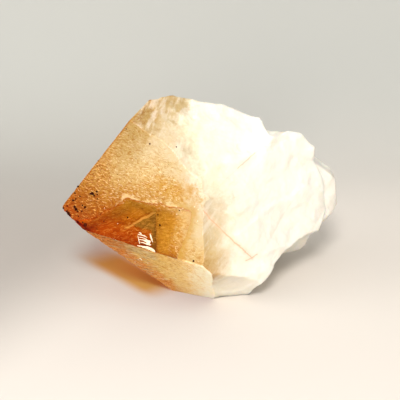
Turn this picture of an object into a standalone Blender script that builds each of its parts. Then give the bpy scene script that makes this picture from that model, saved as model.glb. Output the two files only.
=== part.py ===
"""A natural citrine point: one quartz crystal, lying on its side.

Six flat pyramid faces meet near a sharp tip at -X. Behind them stand short remnants of the six prism faces,
and then the crystal tapers into its broken, milky root at +X. The whole crystal is one closed solid, in
metres, +Z up, with the origin under the middle of its bounding box, on the surface that it rests on.
"""

import math

import bmesh
import bpy
from mathutils import Matrix, Vector, noise

for old in list(bpy.data.objects):
    bpy.data.objects.remove(old)

MM = 0.001

# Driving dimensions. Lengths are in millimetres and angles in degrees.
TIP_TO_CENTRE = 27.0     # along the long axis, from the tip to the point that faces are measured from
AXIS_RISE = 2.0          # the root end of the long axis stands this much higher than the tip end
PYRAMID_SLOPE = 51.8     # quartz: each pyramid face's normal makes this angle with the long axis
FRONT_TURN = 9.4         # the front pyramid face's turn about the long axis, from facing -Y up towards +Z
FACE_STEP = 60.0         # six faces round the axis
TIP_CHIP = 0.45          # worn off the very tip
REST_DEPTH = 18.3        # from the centre down to the flat that the crystal rests on
BLOCK = 60.0             # the rough block that the crystal is cut from
SLIVER = 0.005           # edges shorter than this are closed up

# Pyramid faces: how many steps round from the front face, how far this one strays from the ideal slope, and
# its distance from the centre.
PYRAMID = {
    "front": (0, 0.0, 16.70),
    "upper front": (1, 0.0, 24.1),
    "upper back": (2, 2.3, 15.85),
    "back": (3, 0.0, 18.0),
    "lower back": (4, -1.5, 17.25),
    "lower front": (5, 0.0, 18.5),
}

# Prism faces, each under the pyramid face of the same name.
PRISM = {
    "front": (0, 16.1),
    "upper front": (1, 19.5),
    "upper back": (2, 15.6),
    "back": (3, 15.4),
    "lower back": (4, 17.4),
    "lower front": (5, 22.6),
}

# Fracture faces of the root: turn about the long axis (0 front, 90 up, 180 back, -90 down), taper towards the
# root end, distance from the centre, bowl (how far the middle stands proud of the face at BOWL_RIM from it),
# relief (how strong its waves, ledges and lumps are), and the seed of its noise.
FRACTURES = {
    "bright flank": (12.0, 16.0, 13.6, 0.3, 0.45, 3),
    "upper flank": (40.0, 8.0, 14.2, 0.3, 0.55, 8),
    "lower flank": (3.5, 6.6, 15.3, 0.2, 0.35, 11),
    "bottom flank": (-43.0, -13.0, 20.1, 0.2, 0.35, 12),
    "top shoulder": (122.0, -5.0, 14.75, 0.2, 0.4, 13),
    "top back flank": (118.0, 24.0, 11.2, 0.4, 0.8, 14),
    "back flank": (176.0, 18.0, 13.8, 0.5, 0.9, 21),
    "keel": (-85.0, 24.0, 22.0, 0.3, 0.8, 29),
    "under back flank": (-128.0, 20.0, 17.2, 0.5, 0.9, 33),
    "upper end": (58.7, 70.0, 20.7, 0.2, 0.9, 39),
    "lower end": (-48.4, 51.8, 23.3, 0.2, 0.9, 41),
    "back end": (165.0, 62.0, 22.5, 0.5, 0.9, 43),
}
FRACTURE_REACH = 34.0    # half the width of a fracture cutter
FRACTURE_SLAB = 40.0     # its thickness, behind its rough face
FRACTURE_CELL = 1.35     # spacing of the points on a fracture face
BOWL_RIM = 10.0
WAVE_SIZE = 11.0
WAVE_HEIGHT = 1.6
STEP_SIZE = 6.5
STEP_HEIGHT = 0.45
STEP_SHARPNESS = 7.0
STEP_PHASE = Vector((31.0, 0.0, 0.0))
LUMP_SIZE = 2.7
LUMP_HEIGHT = 0.5
SEED_SPACING = 7.3       # distance through the noise from one seed to the next

# Bites: shell-shaped hollows broken out of the root. Centre along, across and up from the crystal's centre,
# then the three radii, and the seed.
BITES = {
    "end bite above": ((26.5, -13.0, 6.0), (7.0, 7.5, 6.0), 51),
    "end bite below": ((24.5, -14.0, -10.0), (5.0, 8.0, 5.5), 57),
    "under bite": ((19.0, -17.6, -27.2), (18.9, 18.9, 18.9), 59),
}
BALL_LUMPS = 1.9         # lumps across a ball's radius, and their height as a share of it
BALL_LUMP_HEIGHT = 0.10
BALL_RINGS = 14.0        # faint rings round a ball, and their height as a share of its radius
BALL_RING_HEIGHT = 0.018
SMALL_BALL = 2.0         # a ball under this radius has few faces, and one over the next has many
LARGE_BALL = 10.0

# Lobe: a smooth knob of the root that stands out behind the broken end, with its own worn flats. Each flat
# has its turn, taper and distance from the lobe's centre.
LOBE_CENTRE = (19.8, -0.6, -5.0)
LOBE_RADII = (8.6, 7.6, 7.4)
LOBE_SEED = 71
LOBE_FLATS = (
    (75.0, 34.0, 6.8),
    (5.0, 66.0, 7.2),
    (-62.0, 40.0, 6.7),
    (150.0, 50.0, 6.8),
    (80.0, 80.0, 7.7),
)

# Pits: small etched hollows in the upper flank. Centre along, across and up, then the radius.
PITS = (
    ((3.3, -10.7, 9.4), 0.9),
    ((4.9, -11.0, 8.6), 0.7),
    ((2.0, -10.3, 10.1), 0.5),
    ((-4.2, -7.5, 14.8), 0.6),
)
PIT_SEED = 77

# Ledge: a step broken out of the top of the root end by a rough box. The box's corner, along, across and up,
# its size, its tilt about the long axis and about the one across it, and the relief of its end and bottom.
LEDGE_CORNER = (9.8, 0.0, 8.6)
LEDGE_SIZE = (30.0, 60.0, 30.0)
LEDGE_TILT = (-8.0, -6.0)
LEDGE_CUTS = 18
LEDGE_END_RELIEF = 0.9
LEDGE_END_LUMPS = 5.0
LEDGE_FLOOR_RELIEF = 0.7
LEDGE_FLOOR_LUMPS = 4.0
LEDGE_SEED = 63


def axis_frame():
    """The long axis from tip to root, and the two directions across it: towards the back, and up."""
    rise = math.radians(AXIS_RISE)
    along = Vector((math.cos(rise), 0.0, math.sin(rise)))
    back = Vector((0.0, 1.0, 0.0))
    up = Vector((-math.sin(rise), 0.0, math.cos(rise)))
    return along, back, up


ALONG, BACK, UP = axis_frame()


def outward(turn, slope):
    """A face's outward normal: turn round the long axis, slope from the tip's way (0) to the root's (180)."""
    turn, slope = math.radians(turn), math.radians(slope)
    across = UP * math.sin(turn) - BACK * math.cos(turn)
    return across * math.sin(slope) - ALONG * math.cos(slope)


def cutter_name(name):
    return "cut_" + name.replace(" ", "_")


def cut_flat(bm, normal, distance):
    """Cut the convex solid in bm with one flat face, and close it."""
    bmesh.ops.bisect_plane(
        bm,
        geom=bm.verts[:] + bm.edges[:] + bm.faces[:],
        dist=1e-7,
        plane_co=normal * distance,
        plane_no=normal,
        clear_outer=True,
    )
    rim = [edge for edge in bm.edges if edge.is_boundary]
    if rim:
        bmesh.ops.contextual_create(bm, geom=rim)


def new_object(name, bm):
    bmesh.ops.triangulate(bm, faces=bm.faces[:])
    bmesh.ops.recalc_face_normals(bm, faces=bm.faces[:])
    mesh = bpy.data.meshes.new(name)
    bm.to_mesh(mesh)
    bm.free()
    made = bpy.data.objects.new(name, mesh)
    bpy.context.scene.collection.objects.link(made)
    return made


def crystal_block():
    """The crystal as it grew: a block cut by pyramid and prism faces, the worn tip and the resting flat."""
    bm = bmesh.new()
    bmesh.ops.create_cube(bm, size=BLOCK)
    for steps, stray, distance in PYRAMID.values():
        cut_flat(bm, outward(FRONT_TURN + steps * FACE_STEP, PYRAMID_SLOPE + stray), distance)
    for steps, distance in PRISM.values():
        cut_flat(bm, outward(FRONT_TURN + steps * FACE_STEP, 90.0), distance)
    cut_flat(bm, -ALONG, TIP_TO_CENTRE - TIP_CHIP)
    cut_flat(bm, Vector((0.0, 0.0, -1.0)), REST_DEPTH)
    return new_object("citrine_point", bm)


def fracture_height(x, y, bowl, relief, seed):
    """Height of a fracture face over its own plane: a shallow bowl, broad waves, ledges and fine lumps."""
    place = Vector((x, y, seed * SEED_SPACING))
    wave = noise.noise(place / WAVE_SIZE) * WAVE_HEIGHT
    step = math.tanh(noise.noise(place / STEP_SIZE + STEP_PHASE) * STEP_SHARPNESS) * STEP_HEIGHT
    lump = noise.noise(place / LUMP_SIZE) * LUMP_HEIGHT
    return relief * (wave + step + lump) + bowl * (1.0 - (x * x + y * y) / BOWL_RIM**2)


def as_cutter(cutter):
    cutter.hide_render = True
    cutter.display_type = "WIRE"
    return cutter


def fracture_cutter(name, turn, taper, distance, bowl, relief, seed):
    """A slab whose inner face is one rough fracture face of the root."""
    normal = outward(turn, 90.0 + taper)
    side = normal.cross(ALONG).normalized()
    lengthwise = side.cross(normal)
    count = round(2.0 * FRACTURE_REACH / FRACTURE_CELL)
    bm = bmesh.new()
    bmesh.ops.create_grid(bm, x_segments=count, y_segments=count, size=FRACTURE_REACH)
    for vert in bm.verts:
        vert.co.z = fracture_height(vert.co.x, vert.co.y, bowl, relief, seed)
    grown = bmesh.ops.extrude_face_region(bm, geom=bm.faces[:])
    outer = [item for item in grown["geom"] if isinstance(item, bmesh.types.BMVert)]
    for vert in outer:
        vert.co.z = FRACTURE_SLAB
    turn_to_face = Matrix((side, lengthwise, normal)).transposed().to_4x4()
    bm.transform(Matrix.Translation(normal * distance) @ turn_to_face)
    return as_cutter(new_object(cutter_name(name), bm))


def along_across_up(place):
    """A place given along, across and up from the crystal's centre, as a vector."""
    along, across, up = place
    return ALONG * along + BACK * across + UP * up


def ball_detail(radius):
    """How often the ball's faces are divided."""
    if radius < SMALL_BALL:
        return 2
    if radius > LARGE_BALL:
        return 5
    return 4


def lumpy_ball(centre, radii, seed):
    """A lumpy ellipsoid with faint rings round it, as a blow leaves in quartz."""
    bm = bmesh.new()
    bmesh.ops.create_icosphere(bm, subdivisions=ball_detail(max(radii)), radius=1.0)
    for vert in bm.verts:
        place = vert.co.copy()
        lump = 1.0 + BALL_LUMP_HEIGHT * noise.noise(place * BALL_LUMPS + Vector((seed, 0.0, 0.0)))
        down_from_top = math.acos(max(-1.0, min(1.0, place.z)))
        ring = 1.0 + BALL_RING_HEIGHT * math.sin(down_from_top * BALL_RINGS)
        vert.co = Vector((place.x * radii[0], place.y * radii[1], place.z * radii[2])) * lump * ring
    bm.transform(Matrix.Translation(along_across_up(centre)))
    return bm


def bite_cutter(name, centre, radii, seed):
    return as_cutter(new_object(cutter_name(name), lumpy_ball(centre, radii, seed)))


def lobe_solid():
    bm = lumpy_ball((0.0, 0.0, 0.0), LOBE_RADII, LOBE_SEED)
    for turn, taper, distance in LOBE_FLATS:
        cut_flat(bm, outward(turn, 90.0 + taper), distance)
    bm.transform(Matrix.Translation(along_across_up(LOBE_CENTRE)))
    return as_cutter(new_object("lobe", bm))


def ledge_cutter():
    """A box with a rough bottom and a rough end, which takes the step out of the root."""
    length, width, height = LEDGE_SIZE
    seed_shift = Vector((LEDGE_SEED, 0.0, 0.0))
    bm = bmesh.new()
    bmesh.ops.create_cube(bm, size=1.0)
    bmesh.ops.subdivide_edges(bm, edges=bm.edges[:], cuts=LEDGE_CUTS, use_grid_fill=True)
    for vert in bm.verts:
        spot = Vector(((vert.co.x + 0.5) * length, vert.co.y * width, (vert.co.z + 0.5) * height))
        end_relief = LEDGE_END_RELIEF * noise.noise(spot / LEDGE_END_LUMPS)
        floor_relief = LEDGE_FLOOR_RELIEF * noise.noise(spot / LEDGE_FLOOR_LUMPS + seed_shift)
        vert.co = spot + Vector((end_relief, 0.0, floor_relief))
    roll, pitch = (math.radians(angle) for angle in LEDGE_TILT)
    turn = Matrix.Rotation(roll, 4, "X") @ Matrix.Rotation(pitch, 4, "Y")
    bm.transform(Matrix.Translation(along_across_up(LEDGE_CORNER)) @ turn)
    return as_cutter(new_object(cutter_name("ledge"), bm))


def combine(body, other, operation):
    step = body.modifiers.new(other.name, "BOOLEAN")
    step.operation = operation
    step.solver = "EXACT"
    step.object = other


def finish(body):
    """Keep the cut shape as plain faces, in metres, with the origin under the middle of its box."""
    view = bpy.context.evaluated_depsgraph_get()
    view.update()
    cut_mesh = bpy.data.meshes.new_from_object(body.evaluated_get(view))
    body.modifiers.clear()
    bm = bmesh.new()
    bm.from_mesh(cut_mesh)
    bmesh.ops.triangulate(bm, faces=bm.faces[:])
    bmesh.ops.dissolve_degenerate(bm, dist=SLIVER, edges=bm.edges[:])
    bmesh.ops.triangulate(bm, faces=bm.faces[:])
    lows = [min(vert.co[axis] for vert in bm.verts) for axis in range(3)]
    highs = [max(vert.co[axis] for vert in bm.verts) for axis in range(3)]
    middle = Vector(((lows[0] + highs[0]) / 2.0, (lows[1] + highs[1]) / 2.0, lows[2]))
    bm.transform(Matrix.Scale(MM, 4) @ Matrix.Translation(-middle))
    bm.to_mesh(body.data)
    bm.free()
    bpy.data.meshes.remove(cut_mesh)


def citrine_material():
    material = bpy.data.materials.new("citrine")
    material.use_nodes = True
    shader = material.node_tree.nodes["Principled BSDF"]
    shader.inputs["Base Color"].default_value = (0.86, 0.62, 0.33, 1.0)
    shader.inputs["Roughness"].default_value = 0.25
    shader.inputs["Metallic"].default_value = 0.0
    shader.inputs["IOR"].default_value = 1.55
    return material


crystal = crystal_block()
for face_name, values in FRACTURES.items():
    combine(crystal, fracture_cutter(face_name, *values), "DIFFERENCE")
combine(crystal, ledge_cutter(), "DIFFERENCE")
for bite_name, values in BITES.items():
    combine(crystal, bite_cutter(bite_name, *values), "DIFFERENCE")
combine(crystal, lobe_solid(), "UNION")
for number, (centre, radius) in enumerate(PITS):
    pit = bite_cutter(f"pit {number}", centre, (radius, radius, radius), PIT_SEED + number)
    combine(crystal, pit, "DIFFERENCE")
finish(crystal)
crystal.data.materials.append(citrine_material())
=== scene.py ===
"""A natural citrine point on a pale studio sweep, dressed for its pictures.

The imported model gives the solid, its place and its size. Over it goes the real stone as a collector sees it: amber at
the tip, a clear window low on the front face, golden cloud on the other growth faces, and a milky broken root.
"""

import math
import random

import bmesh
import bpy
import numpy as np
from mathutils import Matrix, Vector, noise


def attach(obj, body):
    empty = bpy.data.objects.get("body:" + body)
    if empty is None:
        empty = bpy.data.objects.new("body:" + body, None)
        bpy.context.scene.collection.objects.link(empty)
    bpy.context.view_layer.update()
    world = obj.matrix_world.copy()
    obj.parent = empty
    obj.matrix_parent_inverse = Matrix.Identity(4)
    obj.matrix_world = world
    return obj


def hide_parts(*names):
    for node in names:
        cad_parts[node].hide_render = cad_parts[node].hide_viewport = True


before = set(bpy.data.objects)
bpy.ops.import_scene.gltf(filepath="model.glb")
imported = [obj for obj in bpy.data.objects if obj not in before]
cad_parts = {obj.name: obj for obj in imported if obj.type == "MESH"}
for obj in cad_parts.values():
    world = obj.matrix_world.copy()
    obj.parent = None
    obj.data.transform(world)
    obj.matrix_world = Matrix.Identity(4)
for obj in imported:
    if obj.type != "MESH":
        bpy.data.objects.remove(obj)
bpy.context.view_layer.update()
MM = 0.001


# The studio sweep: one sheet of pale matt paper, flat under the stone and curving up behind it.
SWEEP_TURN = math.radians(-24.15)      # the wall faces this way
SWEEP_FRONT = -0.40
SWEEP_BEND = 0.060                     # the floor starts to curve this far behind the stone
SWEEP_RADIUS = 0.10
SWEEP_TOP = 0.60
SWEEP_HALF_WIDTH = 0.9
PAPER_NEAR = (0.71, 0.67, 0.63)
# painted shade: the sheet is coloured darker towards the left and, where it turns up out of the light, towards the back
PAPER_LEFT_SHADE = (0.44, 0.41, 0.385)
PAPER_FAR_SHADE = (0.52, 0.53, 0.51)         # where the sheet turns up, out of the light
# painted shadow: where, and in what colour, the stone's orange-tinted shadow is painted on the sheet
SHADOW_GLOW_PLACE = Vector((-17.6, 7.7, 0.0)) * MM
SHADOW_GLOW_ACROSS = Vector((0.974, 0.228, 0.0))
SHADOW_GLOW_ALONG = Vector((0.228, -0.974, 0.0))
PAINTED_SHADOW_GLOW_COLOUR = (0.86, 0.50, 0.13, 1.0)


def linked(made):
    bpy.context.scene.collection.objects.link(made)
    return made


def mesh_object(name, points, faces):
    mesh = bpy.data.meshes.new(name)
    mesh.from_pydata([tuple(p) for p in points], [], [tuple(int(i) for i in f) for f in faces])
    mesh.update()
    return linked(bpy.data.objects.new(name, mesh))


def sweep_profile():
    """Distance back and height, from the front edge of the floor to the top of the wall."""
    line = [(SWEEP_FRONT, 0.0), (SWEEP_BEND, 0.0)]
    for step in range(1, 17):
        angle = math.pi / 2.0 * step / 16
        back = SWEEP_BEND + SWEEP_RADIUS * math.sin(angle)
        line.append((back, SWEEP_RADIUS * (1.0 - math.cos(angle))))
    line.append((SWEEP_BEND + SWEEP_RADIUS, SWEEP_TOP))
    return line


right_of_sweep = Vector((math.cos(SWEEP_TURN), math.sin(SWEEP_TURN), 0.0))
back_of_sweep = Vector((-math.sin(SWEEP_TURN), math.cos(SWEEP_TURN), 0.0))
sweep_points, sweep_faces = [], []
for back, height in sweep_profile():
    for side in (-1.0, 1.0):
        spot = right_of_sweep * side * SWEEP_HALF_WIDTH + back_of_sweep * back
        sweep_points.append((spot.x, spot.y, height))
for row in range(len(sweep_points) // 2 - 1):
    first = row * 2
    sweep_faces.append((first, first + 1, first + 3, first + 2))
sweep = mesh_object("studio_sweep", sweep_points, sweep_faces)
for face in sweep.data.polygons:
    face.use_smooth = True

paper = bpy.data.materials.new("warm white paper")
paper.use_nodes = True
paper_shader = paper.node_tree.nodes["Principled BSDF"]
paper_place = paper.node_tree.nodes.new("ShaderNodeTexCoord").outputs["Object"]
paper_colour = None
# painted shade: the paper's colour darkens towards the left and towards the back, standing for less light reaching
# there
for axis, low, high, toward in (
    (-right_of_sweep + 0.5 * back_of_sweep, 0.008, 0.042, PAPER_LEFT_SHADE),
    (back_of_sweep, 0.015, 0.12, PAPER_FAR_SHADE),
):
    reach = paper.node_tree.nodes.new("ShaderNodeVectorMath")
    reach.operation = "DOT_PRODUCT"
    reach.inputs[1].default_value = axis
    paper.node_tree.links.new(paper_place, reach.inputs[0])
    share = paper.node_tree.nodes.new("ShaderNodeMapRange")
    share.interpolation_type = "SMOOTHSTEP"
    share.inputs["From Min"].default_value = low
    share.inputs["From Max"].default_value = high
    paper.node_tree.links.new(reach.outputs["Value"], share.inputs["Value"])
    blend = paper.node_tree.nodes.new("ShaderNodeMix")
    blend.data_type = "RGBA"
    colour_in, colour_to = [socket for socket in blend.inputs if socket.type == "RGBA"]
    paper.node_tree.links.new(share.outputs["Result"], blend.inputs["Factor"])
    if paper_colour is None:
        colour_in.default_value = PAPER_NEAR + (1.0,)
    else:
        paper.node_tree.links.new(paper_colour, colour_in)
    colour_to.default_value = toward + (1.0,)
    paper_colour = next(socket for socket in blend.outputs if socket.type == "RGBA")

# painted shadow and light: the stone's shadow on the sheet behind its amber end is painted into the paper's colour. It
# is warmed by the orange light that comes through the stone and drawn as a band with soft borders.
painted_shadow_glow_mask = None
for axis, low, high in (
    (SHADOW_GLOW_ACROSS, -0.0006, 0.0026), (SHADOW_GLOW_ACROSS, 0.010, 0.006), (SHADOW_GLOW_ALONG, -0.014, -0.004), (SHADOW_GLOW_ALONG, 0.016, 0.009),
):
    reach = paper.node_tree.nodes.new("ShaderNodeVectorMath")
    reach.operation = "SUBTRACT"
    reach.inputs[1].default_value = SHADOW_GLOW_PLACE
    paper.node_tree.links.new(paper_place, reach.inputs[0])
    along_axis = paper.node_tree.nodes.new("ShaderNodeVectorMath")
    along_axis.operation = "DOT_PRODUCT"
    along_axis.inputs[1].default_value = axis
    paper.node_tree.links.new(reach.outputs["Vector"], along_axis.inputs[0])
    share = paper.node_tree.nodes.new("ShaderNodeMapRange")
    share.interpolation_type = "SMOOTHSTEP"
    share.inputs["From Min"].default_value = low
    share.inputs["From Max"].default_value = high
    paper.node_tree.links.new(along_axis.outputs["Value"], share.inputs["Value"])
    if painted_shadow_glow_mask is None:
        painted_shadow_glow_mask = share.outputs["Result"]
    else:
        both = paper.node_tree.nodes.new("ShaderNodeMath")
        both.operation = "MULTIPLY"
        paper.node_tree.links.new(painted_shadow_glow_mask, both.inputs[0])
        paper.node_tree.links.new(share.outputs["Result"], both.inputs[1])
        painted_shadow_glow_mask = both.outputs[0]
painted_shadow_glow = paper.node_tree.nodes.new("ShaderNodeMix")
painted_shadow_glow.data_type = "RGBA"
painted_shadow_glow.blend_type = "MULTIPLY"
colour_in, colour_by = [socket for socket in painted_shadow_glow.inputs if socket.type == "RGBA"]
paper.node_tree.links.new(painted_shadow_glow_mask, painted_shadow_glow.inputs["Factor"])
paper.node_tree.links.new(paper_colour, colour_in)
colour_by.default_value = PAINTED_SHADOW_GLOW_COLOUR
paper_colour = next(socket for socket in painted_shadow_glow.outputs if socket.type == "RGBA")
paper.node_tree.links.new(paper_colour, paper_shader.inputs["Base Color"])

# painted shade in the stone's gloss: the sheet shows there only as a faint flat colour, as when it lies in the shade of
# a flag
paper_rays = paper.node_tree.nodes.new("ShaderNodeLightPath")
in_gloss = paper.node_tree.nodes.new("ShaderNodeMixShader")
shaded_sheet = paper.node_tree.nodes.new("ShaderNodeEmission")
shaded_sheet.inputs["Color"].default_value = (0.10, 0.095, 0.09, 1.0)
paper.node_tree.links.new(paper_rays.outputs["Is Glossy Ray"], in_gloss.inputs[0])
paper.node_tree.links.new(paper_shader.outputs[0], in_gloss.inputs[1])
paper.node_tree.links.new(shaded_sheet.outputs[0], in_gloss.inputs[2])
paper.node_tree.links.new(in_gloss.outputs[0], paper.node_tree.nodes["Material Output"].inputs["Surface"])
paper_shader.inputs["Roughness"].default_value = 0.9
paper_shader.inputs["Specular IOR Level"].default_value = 0.2
sweep.data.materials.append(paper)


# The camera: a short telephoto close to the stone, looking down on it from the front and its left.
CAMERA_PLACE = Vector((-80.66, -176.96, 82.70)) * MM
CAMERA_AZIMUTH = math.radians(-24.15)
CAMERA_ELEVATION = math.radians(19.2)


def direction(azimuth, elevation):
    """A unit vector from the stone towards a place round it: azimuth from the front, elevation from level."""
    flat = math.cos(elevation)
    return Vector((math.sin(azimuth) * flat, -math.cos(azimuth) * flat, math.sin(elevation)))


camera_right = Vector((math.cos(CAMERA_AZIMUTH), math.sin(CAMERA_AZIMUTH), 0.0))
camera_back = direction(CAMERA_AZIMUTH, CAMERA_ELEVATION)
camera_up = camera_back.cross(camera_right)
camera = linked(bpy.data.objects.new("camera", bpy.data.cameras.new("camera")))
camera.matrix_world = (
    Matrix.Translation(CAMERA_PLACE) @ Matrix((camera_right, camera_up, camera_back)).transposed().to_4x4()
)
camera.data.lens = 100.0
camera.data.sensor_width = 36.0
camera.data.clip_start = 0.01
bpy.context.scene.camera = camera


# The lights: a soft key lamp over the camera's left shoulder, a broad low window light from the left, and an even
# warm white fill from all round that is weaker from the front and below, where the room is dark.
KEY_DIRECTION = direction(math.radians(-27.0), math.radians(40.0))
KEY_DISTANCE = 0.45
KEY_WIDTH = 0.11
KEY_POWER = 1.65
WINDOW_LIGHT_DIRECTION = direction(math.radians(-100.0), math.radians(20.0))
WINDOW_LIGHT_DISTANCE = 0.55
WINDOW_LIGHT_SIZE = (0.30, 0.16)
WINDOW_LIGHT_POWER = 0.9
CARD_DIRECTION = direction(math.radians(-30.0), math.radians(4.0))
CARD_DISTANCE = 0.45
CARD_WIDTH = 0.18
CARD_POWER = 0.42
FILL_COLOUR = (1.0, 0.965, 0.91, 1.0)
FILL_LOW = 0.16                        # strength of the fill from level and below, and from straight above
FILL_HIGH = 0.95


def lamp(name, shape, away, distance, power, colour):
    """An area lamp at a distance in a direction, turned to the stone."""
    made = linked(bpy.data.objects.new(name, bpy.data.lights.new(name, "AREA")))
    made.data.shape = shape
    made.data.energy = power
    made.data.color = colour
    made.location = away * distance
    made.rotation_euler = away.to_track_quat("Z", "Y").to_euler()
    return made


key = lamp("key light", "DISK", KEY_DIRECTION, KEY_DISTANCE, KEY_POWER, (1.0, 0.96, 0.91))
key.data.size = KEY_WIDTH
card = lamp("reflector card", "DISK", CARD_DIRECTION, CARD_DISTANCE, CARD_POWER, (1.0, 0.94, 0.86))
card.data.size = CARD_WIDTH
card.visible_glossy = False
window_light = lamp(
    "window light", "RECTANGLE", WINDOW_LIGHT_DIRECTION, WINDOW_LIGHT_DISTANCE, WINDOW_LIGHT_POWER, (1.0, 0.97, 0.93)
)
window_light.data.size, window_light.data.size_y = WINDOW_LIGHT_SIZE
world = bpy.data.worlds.new("studio")
world.use_nodes = True
world.node_tree.nodes["Background"].inputs["Color"].default_value = FILL_COLOUR
sky_direction = world.node_tree.nodes.new("ShaderNodeTexCoord")
sky_parts = world.node_tree.nodes.new("ShaderNodeSeparateXYZ")
sky_strength = world.node_tree.nodes.new("ShaderNodeMapRange")
sky_strength.inputs["To Min"].default_value = FILL_LOW
sky_strength.inputs["To Max"].default_value = FILL_HIGH
world.node_tree.links.new(sky_direction.outputs["Generated"], sky_parts.inputs[0])
world.node_tree.links.new(sky_parts.outputs["Z"], sky_strength.inputs["Value"])
world.node_tree.links.new(sky_strength.outputs["Result"], world.node_tree.nodes["Background"].inputs["Strength"])
bpy.context.scene.world = world
bpy.context.scene.view_settings.view_transform = "Standard"




# The quartz skin: the whole outer surface of the crystal, one closed mesh. The growth faces are flat, with sharp
# edges and faint growth steps; the broken root has shell-shaped waves, ledges and sugary grain.
AXIS_RISE = math.radians(2.0)
ALONG = Vector((math.cos(AXIS_RISE), 0.0, math.sin(AXIS_RISE)))
BACK = Vector((0.0, 1.0, 0.0))
UP = Vector((-math.sin(AXIS_RISE), 0.0, math.cos(AXIS_RISE)))
TIP = Vector((-27.86, 0.33, 17.36))        # mm, the ideal tip, before it was chipped
CENTRE = TIP + ALONG * 27.0
SKIN_CELL = 0.27                           # mm between the skin's points
GROWTH_FACES = {                           # turn round the long axis, slope from it, distance from the centre
    "front": (9.4, 51.8, 16.70),
    "upper front": (69.4, 51.8, 24.1),
    "upper back": (129.4, 54.1, 15.85),
    "back": (189.4, 51.8, 18.0),
    "lower back": (249.4, 50.3, 17.25),
    "lower front": (309.4, 51.8, 18.5),
    "prism front": (9.4, 90.0, 16.1),
    "prism upper front": (69.4, 90.0, 19.5),
    "prism upper back": (129.4, 90.0, 15.6),
    "prism back": (189.4, 90.0, 15.4),
    "prism lower back": (249.4, 90.0, 17.4),
    "prism lower front": (309.4, 90.0, 22.6),
    "tip chip": (0.0, 0.0, 26.55),
}
# The front face's own frame: its start at the tip end of the lower ridge, along the ridge, up the face, and out.
FACE_START = Vector((-29.32, 1.19, 15.18))
FACE_ALONG = Vector((0.7479, -0.6295, -0.2106))
FACE_UP = Vector((0.2305, -0.0513, 0.9717))
FACE_OUT = Vector((-0.6225, -0.7753, 0.1067))
# The clear window low on the front face: its outline, along the ridge and up the face.
WINDOW = (
    (1.0, -3.0), (3.6, 1.2), (6.5, 2.0), (9.4, 4.7), (11.3, 6.4), (12.2, 7.9), (14.0, 8.1), (15.9, 8.0), (18.3, 8.5),
    (21.5, 9.1), (24.0, 9.0), (24.3, 6.4), (24.0, 4.0), (23.7, 1.2), (23.4, -3.0),
)
TIP_CLEAR = 0.3                            # the tip is clear this far back


def outward(turn, slope):
    """A face's outward normal: turn round the long axis, slope from the tip's direction to the root's."""
    turn, slope = math.radians(turn), math.radians(slope)
    across = UP * math.sin(turn) - BACK * math.cos(turn)
    return across * math.sin(slope) - ALONG * math.cos(slope)


def points_of(mesh):
    flat = np.empty(len(mesh.vertices) * 3)
    mesh.vertices.foreach_get("co", flat)
    return flat.reshape(-1, 3)


def set_points(mesh, points):
    mesh.vertices.foreach_set("co", np.ascontiguousarray(points).ravel())
    mesh.update()


def normals_of(mesh):
    flat = np.empty(len(mesh.vertices) * 3)
    mesh.vertex_normals.foreach_get("vector", flat)
    return flat.reshape(-1, 3)


def worked_out(item):
    """The object's mesh with its modifiers applied, in place of the old one."""
    view = bpy.context.evaluated_depsgraph_get()
    view.update()
    mesh = bpy.data.meshes.new_from_object(item.evaluated_get(view))
    old = item.data
    item.modifiers.clear()
    item.data = mesh
    bpy.data.meshes.remove(old)
    mesh.name = item.name


def evened(source, name, cell):
    """A copy of a closed object with points about one cell apart, all over."""
    made = linked(bpy.data.objects.new(name, source.data.copy()))
    step = made.modifiers.new("even", "REMESH")
    step.mode = "VOXEL"
    step.voxel_size = cell
    worked_out(made)
    return made


def edge_ends(mesh):
    flat = np.empty(len(mesh.edges) * 2, np.int64)
    mesh.edges.foreach_get("vertices", flat)
    ends = flat.reshape(-1, 2)
    return ends[:, 0], ends[:, 1]


def neighbour_mean(values, ends, chosen=None):
    """For each point, the mean of a value over its neighbours, or over those of them that are chosen."""
    total = np.zeros_like(values)
    count = np.zeros(len(values))
    weight = np.ones(len(values)) if chosen is None else chosen.astype(float)
    for here, there in (ends, ends[::-1]):
        np.add.at(total, here, values[there] * (weight[there][:, None] if values.ndim > 1 else weight[there]))
        np.add.at(count, here, weight[there])
    safe = np.maximum(count, 1e-9)
    mean = total / (safe[:, None] if values.ndim > 1 else safe)
    lone = count < 0.5
    mean[lone] = values[lone]
    return mean


def noise_at(points, size, seed=0.0):
    """Smooth noise of about -1 to 1 at many places, with lumps of one size."""
    shift = Vector((seed * 3.7, seed * 1.9, seed * 5.3))
    return np.array([noise.noise(Vector(p) / size + shift) for p in points])


def outline_distance(along, up, outline):
    """Distance of many places from a closed outline, minus inside it and plus outside."""
    nearest = np.full(len(along), 1e9)
    inside = np.zeros(len(along), bool)
    for (x0, y0), (x1, y1) in zip(outline, outline[1:] + outline[:1]):
        dx, dy = x1 - x0, y1 - y0
        share = np.clip(((along - x0) * dx + (up - y0) * dy) / (dx * dx + dy * dy), 0.0, 1.0)
        nearest = np.minimum(nearest, np.hypot(along - x0 - share * dx, up - y0 - share * dy))
        if dy:
            crosses = ((y0 > up) != (y1 > up)) & (along < x0 + (up - y0) * dx / dy)
            inside ^= crosses
    return np.where(inside, -nearest, nearest)


def eased(value, low, high):
    """0 below low, 1 above high, and smooth between."""
    share = np.clip((value - low) / (high - low), 0.0, 1.0)
    return share * share * (3.0 - 2.0 * share)


def face_places(points):
    """Places in the front face's frame: along the ridge, up the face, and depth under it."""
    away = points - np.array(FACE_START)
    return away @ np.array(FACE_ALONG), away @ np.array(FACE_UP), -(away @ np.array(FACE_OUT))


face_normals = np.array([outward(turn, slope) for turn, slope, _ in GROWTH_FACES.values()])
face_distances = np.array([
    distance + outward(turn, slope).dot(CENTRE) for turn, slope, distance in GROWTH_FACES.values()
])
face_names = list(GROWTH_FACES)

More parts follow.
